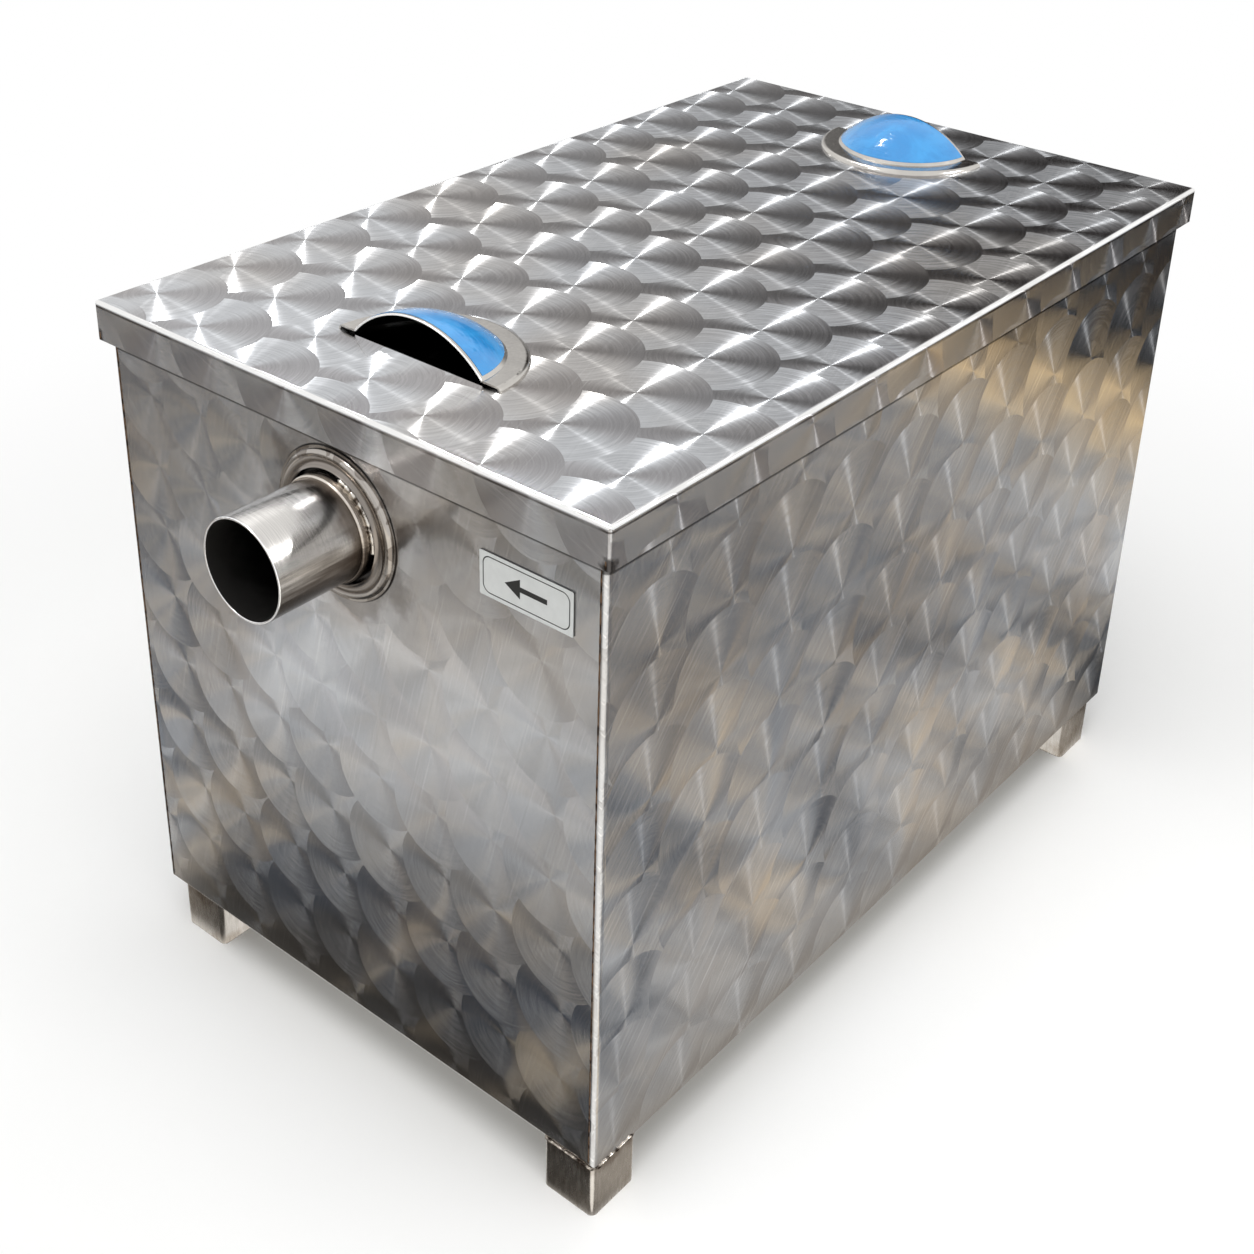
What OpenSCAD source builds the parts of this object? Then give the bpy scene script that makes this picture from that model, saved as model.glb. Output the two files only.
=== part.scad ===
// Free-standing grease trap: a welded sheet-steel tank on four feet, with a lift-off lid.
// Lengths are in millimetres. X runs from the outlet end (-) to the inlet end (+), Y from the
// front side (-) to the rear side (+), and Z is up from the floor that the feet stand on.

/* [Tank] */
// Outside length of the tank
tank_l = 660; // [560:1:900]
// Outside width of the tank
tank_w = 400; // [340:1:600]
// Height of the tank walls
tank_h = 445; // [400:1:600]
// Thickness of the folded sheet
sheet_t = 1.5; // [1:0.1:2]
// Outside radius of the bends at the tank's corners and floor
bend_r = 4; // [3:0.5:8]
// Gap that the weld fills at each seam
seam_gap = 0.3; // [0.1:0.1:0.6]

/* [Feet] */
// Width of the square foot tube
foot_w = 40; // [30:1:60]
// Height of the feet
foot_h = 40; // [20:1:100]
// Wall of the foot tube
foot_wall = 2; // [1.5:0.1:2.5]
// Outside corner radius of the foot tube
foot_corner_r = 4; // [3:0.5:8]
// Set-back along X of the feet: outlet front, outlet rear, inlet front, inlet rear
foot_inset_x = [0, 5, 15, 12]; // [0:1:30]
// Set-back along Y of the same feet
foot_inset_y = [0, 9, 2, 9]; // [0:1:30]

/* [Lid] */
// How far the lid stands out past the tank on each side
lid_overhang = 6; // [4:0.5:12]
// Height of the lid's folded skirt
skirt_h = 26; // [18:1:45]
// Outside radius of the lid's folds
lid_bend_r = 3; // [2.5:0.5:6]
// Outside radius of the lid's welded corners
lid_corner_r = 2.5; // [2.2:0.1:5]
// Width of the flat strips that the lid seats on
seat_w = 15; // [10:1:20]
// Thickness of the seat strips
seat_t = 3; // [2:0.5:5]
// Width of the gasket
gasket_w = 11; // [6:1:18]
// Thickness of the seated gasket
gasket_t = 3; // [2:0.5:6]

/* [Pipes] */
// Outside diameter of the pipe stubs
pipe_od = 63.5; // [50:0.1:80]
// Wall of the pipe stubs
pipe_wall = 1.5; // [1:0.1:3]
// Length of each stub outside the tank
pipe_out = 70; // [50:1:120]
// Length of each stub inside the tank
pipe_in = 15; // [10:1:30]
// Rounding of both edges of a stub's mouth
mouth_edge_r = 0.6; // [0.2:0.1:0.7]
// Depth that a stub is turned down to enter its sleeve
pipe_step = 0.5; // [0.4:0.05:0.6]
// Gap left around and in front of a stub in its sleeve, for the weld
pipe_fit = 0.3; // [0.2:0.05:0.4]
// Height of the sleeve's outside above the stub
sleeve_t = 1.6; // [1.2:0.1:4]
// Length of the sleeve
sleeve_l = 11; // [8:1:30]
// Rounding of the sleeve's front edge
sleeve_edge_r = 1.4; // [0.5:0.1:1.5]
// Width of the open groove between sleeve and rosette
groove_w = 2.5; // [1:0.1:5]
// Width of the rosette's ring
rosette_w = 12.1; // [11:0.1:20]
// Outside radius of the rosette's rolled rim
rosette_rim_r = 3.8; // [3:0.1:6]
// Width of the flat lip outside the rolled rim
rosette_lip_w = 1.2; // [0.5:0.1:3]
// Depth of the hollow between the rosette's rim and its hole
rosette_dish = 0.8; // [0.4:0.1:1.5]
// Radius of that hollow's section
rosette_dish_r = 5.5; // [5:0.5:12]
// Thickness of the rosette's sheet
rosette_t = 1.2; // [0.8:0.1:1.5]
// Gap between the lid's skirt and the rosette
rosette_gap = 6; // [3:1:60]

/* [Handles] */
// Distance from the lid's short edge to the open side of each handle
handle_inset = 72; // [40:1:150]
// Radius of the dome where it meets its flange
dome_r = 52; // [40:1:70]
// Height of the dome above its flange
dome_h = 22.8; // [15:0.1:35]
// Width of the flange around the dome
flange_w = 13.5; // [9:0.5:20]
// Outside radius of the flange's rolled lip
lip_r = 3.2; // [2.6:0.1:6]
// Thickness of the handle's sheet
handle_t = 1.2; // [0.8:0.1:1.5]
// Thickness of the protective film
film_t = 0.2; // [0.1:0.05:0.4]
// Air left between film and dome
film_gap = 0.05; // [0.05:0.05:0.2]
// Bare steel left around the film
film_margin = 1.8; // [0.5:0.1:6]

/* [Label] */
// Width of the label plate
label_w = 66; // [40:1:100]
// Height of the label plate
label_h = 27.5; // [18:0.5:50]
// Thickness of the label plate
label_t = 0.8; // [0.5:0.1:2]
// Corner radius of the label plate
label_corner_r = 1; // [0.5:0.5:5]
// Distance from the tank's front edge to the label
label_inset = 21.5; // [10:0.5:40]
// Distance from the lid's skirt down to the label
label_drop = 25; // [10:1:80]

/* [Inside] */
// Length of the inlet chamber, from the tank's end to its baffle
inlet_chamber_l = 235; // [180:1:300]
// Room between the dip pipe and the outlet baffle
dip_room = 32; // [15:1:80]
// Thickness of the baffles
baffle_t = 1.5; // [1:0.1:3]
// Height of the passage under each baffle
baffle_pass_h = 80; // [40:1:140]
// Distance from the tank's top edge down to the baffles
baffle_drop = 45; // [30:1:60]
// Bend radius of the dip elbow at its centre line
elbow_r = 64; // [55:1:90]
// Height of the dip pipe's mouth above the tank floor
dip_mouth_h = 90; // [50:1:150]

/* [Basket] */
// Depth of the basket
basket_depth = 200; // [120:1:220]
// Thickness of the perforated sheet
basket_t = 1.5; // [1:0.1:2]
// Diameter of the perforations
hole_d = 10; // [6:1:14]
// Distance between perforations
hole_pitch = 22; // [18:1:40]
// Plain border of the perforated sheets
hole_border = 14; // [10:1:30]
// Width of the rim on top of the basket
rim_w = 14; // [8:1:25]
// Thickness of the rim
rim_t = 2; // [1.5:0.1:4]
// Room between the basket's top and the bottom of the inlet pipe
basket_drop = 8; // [4:1:30]
// Room around the basket as it lifts out
lift_room = 3.5; // [2:0.5:10]
// Room between the basket and the baffle or its rails
basket_room = 8; // [4:0.5:20]
// Width of the rails that carry the basket
rail_w = 33; // [30:1:50]
// Height of the rails' wall leg
rail_leg_h = 20; // [10:1:40]
// Thickness of the rails
rail_t = 2; // [1.5:0.1:4]
// Diameter of the basket's carrying bar
bar_d = 8; // [5:0.5:12]
// Height of the carrying bar above the rim
bar_h = 50; // [40:1:60]
// Bend radius of the carrying bar at its centre line
bar_bend_r = 20; // [14:1:30]

/* [Hidden] */
$fn = 96;

steel = [0.66, 0.66, 0.65];
tube_steel = [0.74, 0.73, 0.71];
inner_steel = [0.55, 0.55, 0.54];
film_blue = [0.24, 0.61, 0.94];
label_white = [0.86, 0.87, 0.86];
gasket_black = [0.08, 0.08, 0.08];

inner_x = tank_l / 2 - sheet_t;
inner_y = tank_w / 2 - sheet_t;
tank_top = foot_h + tank_h;
floor_top = foot_h + sheet_t;

lid_l = tank_l + 2 * lid_overhang;
lid_w = tank_w + 2 * lid_overhang;
lid_under = tank_top + gasket_t;
lid_top = lid_under + sheet_t;
skirt_z = lid_top - skirt_h;

pipe_r = pipe_od / 2;
bore_r = pipe_r - pipe_wall;
seat_r = pipe_r - pipe_step;
seat_hole_r = seat_r + pipe_fit;
sleeve_r = pipe_r + sleeve_t;
rosette_in_r = sleeve_r + groove_w;
rosette_r = rosette_in_r + rosette_w;
pipe_z = skirt_z - rosette_gap - rosette_r;

handle_x = lid_l / 2 - handle_inset;
sphere_r = (dome_r * dome_r + dome_h * dome_h) / (2 * dome_h);
sphere_z = lip_r + dome_h - sphere_r;
film_r = sphere_r + film_gap;

elbow_x = inner_x - pipe_in;
leg_x = elbow_x - elbow_r;
outlet_baffle_x = leg_x - pipe_r - dip_room;
inlet_baffle_x = tank_l / 2 - inlet_chamber_l;
baffle_bottom = floor_top + baffle_pass_h;

basket_top = pipe_z - pipe_r - basket_drop;
basket_bottom = basket_top - basket_depth;
basket_x0 = inlet_baffle_x + baffle_t / 2 + basket_room;
basket_x1 = inner_x - max(seat_w, pipe_in) - lift_room;
basket_l = basket_x1 - basket_x0;
basket_x = (basket_x0 + basket_x1) / 2;
basket_w = 2 * (inner_y - rail_w - basket_room);
rim_span = 2 * (inner_y - seat_w - lift_room);
wall_bottom = basket_bottom + basket_t;
wall_h = basket_depth - rim_t - basket_t;

// Rectangle with rounded corners, centred on the origin
module rounded_rect(a, b, r) {
  square([a - 2 * r, b], center = true);
  square([a, b - 2 * r], center = true);
  for (sx = [-1, 1], sy = [-1, 1])
    translate([sx * (a / 2 - r), sy * (b / 2 - r)]) circle(r);
}

// Section of a sheet bent round a rectangle
module bent_sheet(a, b, r) {
  difference() {
    rounded_rect(a, b, r);
    rounded_rect(a - 2 * sheet_t, b - 2 * sheet_t, r - sheet_t);
  }
}

// Quarter of a rolled edge: rises from the ground at the outside to a flat top
module rolled_edge(r, t) {
  intersection() {
    difference() {
      circle(r);
      circle(r - t);
    }
    square(r);
  }
}

// Places what is drawn for the outlet end at either end
module at_end(dir) {
  if (dir < 0) children();
  else mirror([1, 0, 0]) children();
}

// Places what is drawn for the front side at either side
module at_side(side) {
  if (side < 0) children();
  else mirror([0, 1, 0]) children();
}

// Lays a round section along the pipe axis, with its own Z pointing out of the outlet end
module on_pipe_axis() {
  translate([-tank_l / 2, 0, pipe_z]) rotate([0, -90, 0]) children();
}

// Block with rounded top edges and upright corners, its underside at the origin
module lid_block(a, b, h, fold_r, corner_r) {
  intersection() {
    linear_extrude(h) rounded_rect(a, b, corner_r);
    rotate([90, 0, 0]) linear_extrude(b, center = true) rounded_rect(a, 2 * h, fold_r);
    rotate([90, 0, 90]) linear_extrude(a, center = true) rounded_rect(b, 2 * h, fold_r);
  }
}

// Flat sheet with rows of round holes, standing on the origin and centred
module perforated_sheet(a, b) {
  cols = floor((a - 2 * hole_border) / hole_pitch);
  rows = floor((b - 2 * hole_border) / hole_pitch);
  linear_extrude(basket_t) difference() {
    square([a, b], center = true);
    for (i = [0:cols], j = [0:rows])
      translate([(i - cols / 2) * hole_pitch, (j - rows / 2) * hole_pitch]) circle(d = hole_d);
  }
}

// End wall: flat sheet with a pipe hole and a bend along its foot
module end_panel(dir) {
  color(steel) at_end(dir) difference() {
    rotate([90, 0, 0]) linear_extrude(tank_w - 2 * (bend_r + seam_gap), center = true) intersection() {
      translate([0, tank_top]) bent_sheet(tank_l, 2 * tank_h, bend_r);
      translate([-tank_l / 2, foot_h]) square([bend_r, tank_h]);
    }
    on_pipe_axis() cylinder(r = seat_hole_r, h = 4 * sheet_t, center = true);
  }
}

// Long wall: flat sheet whose upright ends are bent round the corners
module side_panel(side) {
  color(steel) at_side(side) intersection() {
    translate([0, 0, foot_h]) linear_extrude(tank_h) intersection() {
      bent_sheet(tank_l, tank_w, bend_r);
      translate([-tank_l / 2, -tank_w / 2]) square([tank_l, bend_r]);
    }
    rotate([90, 0, 0]) linear_extrude(tank_w, center = true)
      translate([0, tank_top]) rounded_rect(tank_l, 2 * tank_h, bend_r);
  }
}

module floor_panel() {
  floor_l = tank_l - 2 * (bend_r + seam_gap);
  color(steel) translate([-floor_l / 2, -inner_y, foot_h]) cube([floor_l, 2 * inner_y, sheet_t]);
}

// Flat strip welded inside the top edge of a long wall
module seat_strip_long(side) {
  strip_l = tank_l - 2 * bend_r;
  color(inner_steel) at_side(side)
    translate([-strip_l / 2, -inner_y, tank_top - seat_t]) cube([strip_l, seat_w, seat_t]);
}

// Flat strip welded inside the top edge of an end wall
module seat_strip_short(dir) {
  strip_w = 2 * (inner_y - seat_w);
  color(inner_steel) at_end(dir)
    translate([-inner_x, -strip_w / 2, tank_top - seat_t]) cube([seat_w, strip_w, seat_t]);
}

// Foot: a short length of square tube under one corner
module foot(dir, side, corner) {
  bore_w = foot_w - 2 * foot_wall;
  at_x = tank_l / 2 - foot_w / 2 - foot_inset_x[corner];
  at_y = tank_w / 2 - foot_w / 2 - foot_inset_y[corner];
  color(tube_steel) translate([dir * at_x, side * at_y, 0]) linear_extrude(foot_h) difference() {
    rounded_rect(foot_w, foot_w, foot_corner_r);
    rounded_rect(bore_w, bore_w, foot_corner_r - foot_wall);
  }
}

// Pipe stub: its mouth is eased, its inner end is turned down to pass the sleeve and the wall
module pipe_stub(dir) {
  inner_z = -(pipe_in + sheet_t);
  shoulder_z = sleeve_l + pipe_fit;
  full_l = pipe_out - shoulder_z;
  color(tube_steel) at_end(dir) on_pipe_axis() rotate_extrude() translate([bore_r, 0]) {
    translate([0, shoulder_z]) intersection() {
      square([pipe_wall, full_l]);
      translate([pipe_wall / 2, 0]) rounded_rect(pipe_wall, 2 * full_l, mouth_edge_r);
    }
    translate([0, inner_z]) square([pipe_wall - pipe_step, shoulder_z - inner_z]);
  }
}

// Sleeve that stiffens the stub where it leaves the wall
module sleeve(dir) {
  sleeve_wall = sleeve_r - seat_hole_r;
  color(tube_steel) at_end(dir) on_pipe_axis() rotate_extrude() translate([seat_hole_r, 0]) intersection() {
    square([sleeve_wall, sleeve_l]);
    rounded_rect(2 * sleeve_wall, 2 * sleeve_l, sleeve_edge_r);
  }
}

// Pressed rosette: flat lip on the wall, rolled rim, and a hollow face that rises to its hole
module rosette(dir) {
  rim_foot_r = rosette_r - rosette_lip_w;
  crest_r = rim_foot_r - rosette_rim_r;
  dish_fall = rosette_dish_r - rosette_dish;
  dish_mid_r = crest_r - sqrt(rosette_dish_r * rosette_dish_r - dish_fall * dish_fall);
  color(tube_steel) at_end(dir) on_pipe_axis() rotate_extrude() {
    translate([rim_foot_r - rosette_t, 0]) square([rosette_t + rosette_lip_w, rosette_t]);
    translate([crest_r, 0]) rolled_edge(rosette_rim_r, rosette_t);
    intersection() {
      translate([dish_mid_r, rosette_rim_r + dish_fall]) difference() {
        circle(rosette_dish_r + rosette_t);
        circle(rosette_dish_r);
      }
      translate([rosette_in_r, 0]) square([crest_r - rosette_in_r, rosette_rim_r + dish_fall]);
    }
  }
}

// Section of the dip pipe
module pipe_ring() {
  difference() {
    circle(pipe_r);
    circle(bore_r);
  }
}

// Elbow that turns the outlet down into the tank
module dip_elbow() {
  color(inner_steel) translate([-elbow_x, 0, pipe_z - elbow_r]) rotate([90, 0, 0])
    rotate_extrude(angle = 90) translate([elbow_r, 0]) pipe_ring();
}

// Straight leg that draws from under the grease
module dip_leg() {
  leg_bottom = floor_top + dip_mouth_h;
  color(inner_steel) translate([-leg_x, 0, leg_bottom])
    linear_extrude(pipe_z - elbow_r - leg_bottom) pipe_ring();
}

module label_plate() {
  label_y = -tank_w / 2 + label_inset + label_w / 2;
  label_z = skirt_z - label_drop - label_h / 2;
  color(label_white) translate([-tank_l / 2, label_y, label_z]) rotate([90, 0, -90])
    linear_extrude(label_t) rounded_rect(label_w, label_h, label_corner_r);
}

// Cross wall that water passes under and floating grease does not
module baffle(at_x) {
  color(inner_steel) translate([at_x - baffle_t / 2, -inner_y, baffle_bottom])
    cube([baffle_t, 2 * inner_y, tank_top - baffle_drop - baffle_bottom]);
}

// Angle welded to a long wall, from the baffle to the inlet end
module basket_rail(side) {
  rail_x0 = inlet_baffle_x + baffle_t / 2;
  rail_top = basket_top - rim_t;
  rail_l = tank_l / 2 - bend_r - rail_x0;
  color(inner_steel) at_side(side) translate([rail_x0, -inner_y, rail_top - rail_leg_h]) {
    cube([rail_l, rail_t, rail_leg_h]);
    translate([0, 0, rail_leg_h - rail_t]) cube([rail_l, rail_w, rail_t]);
  }
}

module basket_floor() {
  color(inner_steel) translate([basket_x, 0, basket_bottom]) perforated_sheet(basket_l, basket_w);
}

module basket_side(side) {
  color(inner_steel) at_side(side) translate([basket_x, -basket_w / 2 + basket_t, wall_bottom + wall_h / 2])
    rotate([90, 0, 0]) perforated_sheet(basket_l, wall_h);
}

module basket_end(at_x) {
  color(inner_steel) translate([at_x, 0, wall_bottom + wall_h / 2])
    rotate([90, 0, 90]) perforated_sheet(basket_w - 2 * basket_t, wall_h);
}

// Flat frame on top of the basket, with lips that hang on the rails
module basket_rim() {
  color(inner_steel) translate([basket_x, 0, basket_top - rim_t]) linear_extrude(rim_t) difference() {
    square([basket_l, rim_span], center = true);
    square([basket_l - 2 * rim_w, basket_w - 2 * rim_w], center = true);
  }
}

// Round bar bent into a carrying handle across the rim
module basket_bar() {
  half_span = basket_w / 2 - rim_w / 2;
  bend_z = bar_h - bar_bend_r;
  color(tube_steel) translate([basket_x, 0, basket_top]) {
    for (side = [-1, 1]) at_side(side) translate([0, -half_span, 0]) {
      cylinder(d = bar_d, h = bend_z);
      translate([0, bar_bend_r, bend_z]) rotate([90, 0, -90])
        rotate_extrude(angle = 90) translate([bar_bend_r, 0]) circle(d = bar_d);
    }
    translate([0, 0, bar_h]) rotate([90, 0, 0])
      cylinder(d = bar_d, h = 2 * (half_span - bar_bend_r), center = true);
  }
}

// Lid: one sheet folded down on four sides, its corners welded
module lid() {
  inner_h = skirt_h - sheet_t;
  color(steel) translate([0, 0, skirt_z]) difference() {
    lid_block(lid_l, lid_w, skirt_h, lid_bend_r, lid_corner_r);
    lid_block(
      lid_l - 2 * sheet_t, lid_w - 2 * sheet_t, inner_h,
      lid_bend_r - sheet_t, lid_corner_r - sheet_t
    );
  }
}

// Soft frame between lid and seat strips
module lid_gasket() {
  outer_l = 2 * (inner_x - (seat_w - gasket_w) / 2);
  outer_w = 2 * (inner_y - (seat_w - gasket_w) / 2);
  color(gasket_black) translate([0, 0, tank_top]) linear_extrude(gasket_t) difference() {
    square([outer_l, outer_w], center = true);
    square([outer_l - 2 * gasket_w, outer_w - 2 * gasket_w], center = true);
  }
}

// Places a half-round pull on the lid, its open side facing the nearer end
module on_lid(dir) {
  at_end(dir) translate([-handle_x, 0, lid_top]) rotate([0, 0, -90]) children();
}

// Pressed half dome with a flat flange and a rolled lip, cut straight across
module handle(dir) {
  flat_r = dome_r + flange_w - lip_r;
  color(tube_steel) on_lid(dir) rotate_extrude(angle = 180) {
    intersection() {
      translate([0, sphere_z]) difference() {
        circle(sphere_r);
        circle(sphere_r - handle_t);
      }
      translate([0, lip_r - handle_t]) square([dome_r, dome_h + 2 * handle_t]);
    }
    translate([dome_r, lip_r - handle_t]) square([flat_r - dome_r, handle_t]);
    translate([flat_r, 0]) rolled_edge(lip_r, handle_t);
  }
}

// Thin film that still covers the dome, with a bare margin of steel
module handle_film(dir) {
  film_reach = dome_r - film_margin;
  color(film_blue) on_lid(dir) intersection() {
    rotate_extrude(angle = 180) intersection() {
      translate([0, sphere_z]) difference() {
        circle(film_r + film_t);
        circle(film_r);
      }
      translate([0, lip_r]) square([film_reach, 2 * dome_h]);
    }
    translate([-dome_r, film_margin, 0]) cube([2 * dome_r, dome_r, 2 * (lip_r + dome_h)]);
  }
}

end_panel(-1);  // outlet_end_panel
end_panel(1);  // inlet_end_panel
side_panel(-1);  // front_side_panel
side_panel(1);  // rear_side_panel
floor_panel();
seat_strip_long(-1);  // seat_strip_front
seat_strip_long(1);  // seat_strip_rear
seat_strip_short(-1);  // seat_strip_outlet
seat_strip_short(1);  // seat_strip_inlet
foot(-1, -1, 0);  // foot_outlet_front
foot(-1, 1, 1);  // foot_outlet_rear
foot(1, -1, 2);  // foot_inlet_front
foot(1, 1, 3);  // foot_inlet_rear
pipe_stub(-1);  // outlet_pipe
sleeve(-1);  // outlet_sleeve
rosette(-1);  // outlet_rosette
pipe_stub(1);  // inlet_pipe
sleeve(1);  // inlet_sleeve
rosette(1);  // inlet_rosette
dip_elbow();
dip_leg();
label_plate();
baffle(inlet_baffle_x);  // inlet_baffle
baffle(-outlet_baffle_x);  // outlet_baffle
basket_rail(-1);  // basket_rail_front
basket_rail(1);  // basket_rail_rear
basket_floor();
basket_side(-1);  // basket_side_front
basket_side(1);  // basket_side_rear
basket_end(basket_x1 - basket_t);  // basket_end_inlet
basket_end(basket_x0);  // basket_end_baffle
basket_rim();
basket_bar();
lid();
lid_gasket();
handle(-1);  // outlet_handle
handle(1);  // inlet_handle
handle_film(-1);  // outlet_handle_film
handle_film(1);  // inlet_handle_film
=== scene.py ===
import math
import random
from functools import partial

import bmesh
import bpy
from mathutils import Matrix, Vector


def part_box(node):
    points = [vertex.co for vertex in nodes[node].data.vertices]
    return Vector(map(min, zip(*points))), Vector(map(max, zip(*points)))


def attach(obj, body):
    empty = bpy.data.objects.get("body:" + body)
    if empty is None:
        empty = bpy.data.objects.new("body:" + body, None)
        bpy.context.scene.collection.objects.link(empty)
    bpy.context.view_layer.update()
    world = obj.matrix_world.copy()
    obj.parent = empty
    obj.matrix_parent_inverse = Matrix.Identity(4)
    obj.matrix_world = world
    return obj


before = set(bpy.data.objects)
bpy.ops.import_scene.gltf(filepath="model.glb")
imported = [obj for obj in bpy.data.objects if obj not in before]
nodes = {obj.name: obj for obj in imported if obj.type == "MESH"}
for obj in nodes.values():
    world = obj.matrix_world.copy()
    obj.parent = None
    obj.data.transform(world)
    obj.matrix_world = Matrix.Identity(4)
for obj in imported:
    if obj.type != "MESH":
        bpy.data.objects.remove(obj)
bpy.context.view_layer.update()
scene = bpy.context.scene
scene.view_settings.view_transform = "Standard"
mm = 0.001

# Settings and sockets that many nodes share
asColour = {"out": 2, "data_type": "RGBA"}
asVector = {"out": 1, "data_type": "VECTOR"}
smoothStep = {"interpolation_type": "SMOOTHSTEP"}
fromSpan = (1, 2)
toSpan = (3, 4)
noiseSpan = {fromSpan: (0.3, 0.7)}  # most values of a noise texture lie between these
strengthAndDepth = ("Strength", "Distance")
white = "#FFFFFF"

# In the dictionaries below, a span is the noise at which a mark begins and is full, shine is the
# darkest and brightest share of a colour, roughness its lowest and highest, bump its strength and depth


def toLinear(hexColour):
    channels = [int(hexColour[i:i + 2], 16) / 255 for i in (1, 3, 5)]
    return tuple(c / 12.92 if c <= 0.04045 else ((c + 0.055) / 1.055) ** 2.4 for c in channels) + (1.0,)


def addNode(tree, kind, inputs=None, out=0, **settings):
    # the operation of a maths node follows a full stop, as in Math.ADD, and two sockets may take a pair
    kind, _, operation = kind.partition(".")
    node = tree.nodes.new("ShaderNode" + kind)
    if operation:
        node.operation = operation
    for name, value in settings.items():
        setattr(node, name, value)
    for key, entry in (inputs or {}).items():
        for socket, value in zip(key, entry) if isinstance(key, tuple) else [(key, entry)]:
            if isinstance(value, bpy.types.NodeSocket):
                tree.links.new(value, node.inputs[socket])
            else:
                node.inputs[socket].default_value = value
    return node.outputs[out] if node.outputs else node


def newMaterial(name):
    material = bpy.data.materials.new(name)
    material.use_nodes = True
    material.node_tree.nodes.clear()
    return material, partial(addNode, material.node_tree)


def placeInMm(add):
    return add("VectorMath.SCALE", {0: add("TexCoord", out="Object"), "Scale": 1 / mm})


def dress(material, *names):
    for name in names:
        nodes[name].data.materials.clear()
        nodes[name].data.materials.append(material)


def newPiece(name, shape, material):
    mesh = bpy.data.meshes.new(name)
    shape.to_mesh(mesh)
    shape.free()
    mesh.materials.append(material)
    piece = bpy.data.objects.new(name, mesh)
    scene.collection.objects.link(piece)
    return piece


# Camera: where the photo was taken from, found from the corners of the box
photoCamera = {
    "place": (-0.9318, -0.6938, 0.9365),
    "azimuth": -51.157,
    "elevation": 26.767,
    "roll": 1.64,
    "sensor": 36,        # mm
    "frame": 1254,       # pixels
    "focal": 1837.2,     # pixels
    "axisRow": 420,      # row of the photo that the lens axis meets
}


def addCamera(c):
    camera = bpy.data.cameras.new("photoCamera")
    camera.sensor_width = c["sensor"]
    camera.lens = c["focal"] / c["frame"] * c["sensor"]
    camera.shift_y = (c["axisRow"] - c["frame"] / 2) / c["frame"]
    holder = bpy.data.objects.new("photoCamera", camera)
    scene.collection.objects.link(holder)
    turn = (
        Matrix.Rotation(math.radians(c["azimuth"]), 4, "Z")
        @ Matrix.Rotation(math.radians(90 - c["elevation"]), 4, "X")
        @ Matrix.Rotation(math.radians(c["roll"]), 4, "Z")
    )
    holder.matrix_world = Matrix.Translation(c["place"]) @ turn
    scene.camera = holder


addCamera(photoCamera)

# Studio: pale floor, white surround, one large soft lamp, small lamps that the metal catches as
# streaks, and two cards out of the camera's sight that give the metal something to mirror
studio = {
    "floorColour": "#F4F4F3",
    "floorSize": 14.0,              # m
    "floorSides": 96,
    "floorFade": (0.5, 1.15),       # m from the middle, where the floor passes into the surround
    "ambient": 0.55,
    # direction from the lid, distance m, size m, watts
    "softLamp": ((-0.25, -0.15, 1.0), 2.6, 2.4, 62),
    "streakLamps": {
        "rearStreak": ((0.16, 0.46, 0.87), 2.4, 0.11, 30.0),
        "frontStreak": ((0.31, -0.78, 0.54), 2.4, 0.05, 48.0),
        "endStreak": ((-0.63, 0.25, 0.74), 2.4, 0.08, 14.0),
    },
    "backCard": {
        "radius": 3.0,
        "height": 2.9,
        "sides": 64,
        "fade": (1.6, 2.25),        # m above the floor where it thins out
        "foot": (1.0, 1.3),         # m, thinner below
        "footShare": 0.75,
        "toward": (0.8, -0.6, 0),
        "rise": 0.26,               # m that it grows taller for each m in that direction
        "edges": (-0.6, 1.4),       # m along that direction, where it begins and is full
        "frontEdge": (-0.2, 0.5),   # m along Y, so that the lid's front fold stays bright
        "colour": "#241F1D",
    },
    "floorCard": {
        "radius": 2.9,
        "sides": 96,
        "lift": 0.5 * mm,           # above the floor
        # colours by distance in m outside the tank's outline
        "alongEnds": ((0.0, "#5A5651"), (0.05, "#454340"), (0.12, "#5E5F62"), (0.19, "#B2B1AF"),
                      (0.24, "#FFFFFF"), (0.38, "#FFFFFD"), (0.55, "#8C8A87")),
        "alongSides": ((0.03, "#A69F96"), (0.08, "#D6D6D5"), (0.24, "#9EA0A3"), (0.60, "#7A7B7F")),
        "beyondInlet": ((0.42, "#C9C7C2"), (0.56, "#F0D3A6"), (0.63, "#E5C79A"), (0.71, "#26272A")),
        "pastInlet": (0.40, 0.56),  # m, where the last ones take over
        "passing": 0.05,            # m either side of a corner, where sides pass into ends
        "endShade": (0.0, 0.25),    # m along Y, between which the ends grow lighter
        "endShare": 0.7,            # from this share of their colour
        "underneath": "#F2EFEA",    # the bend at the end wall's foot catches it
        "underEdge": (3 * mm, -6 * mm),
        "cloud": 15.0,              # clouds per m
        "cloudStretch": (0.7, 1, 1),
        # colour, shift in m, and the noise at which it begins and is full
        "clouds": (("#4C535E", 0, 0.47, 0.56), ("#F4DFC0", 5.0, 0.545, 0.60)),
        "cloudDepth": 0.95,
        "cloudFrom": (0.03, 0.09),  # m away from the tank
        "cloudAtEnds": 0.6,
        "glint": "#F3EFE8",         # the near upright edge catches it
        "glintToward": (-0.8, -0.6, 0),
        "glintSpread": (0.68, 0.86),    # cosines, where it begins and is full
        "strength": (1.12, 1.5),    # elsewhere, and in the glint
    },
}


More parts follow.
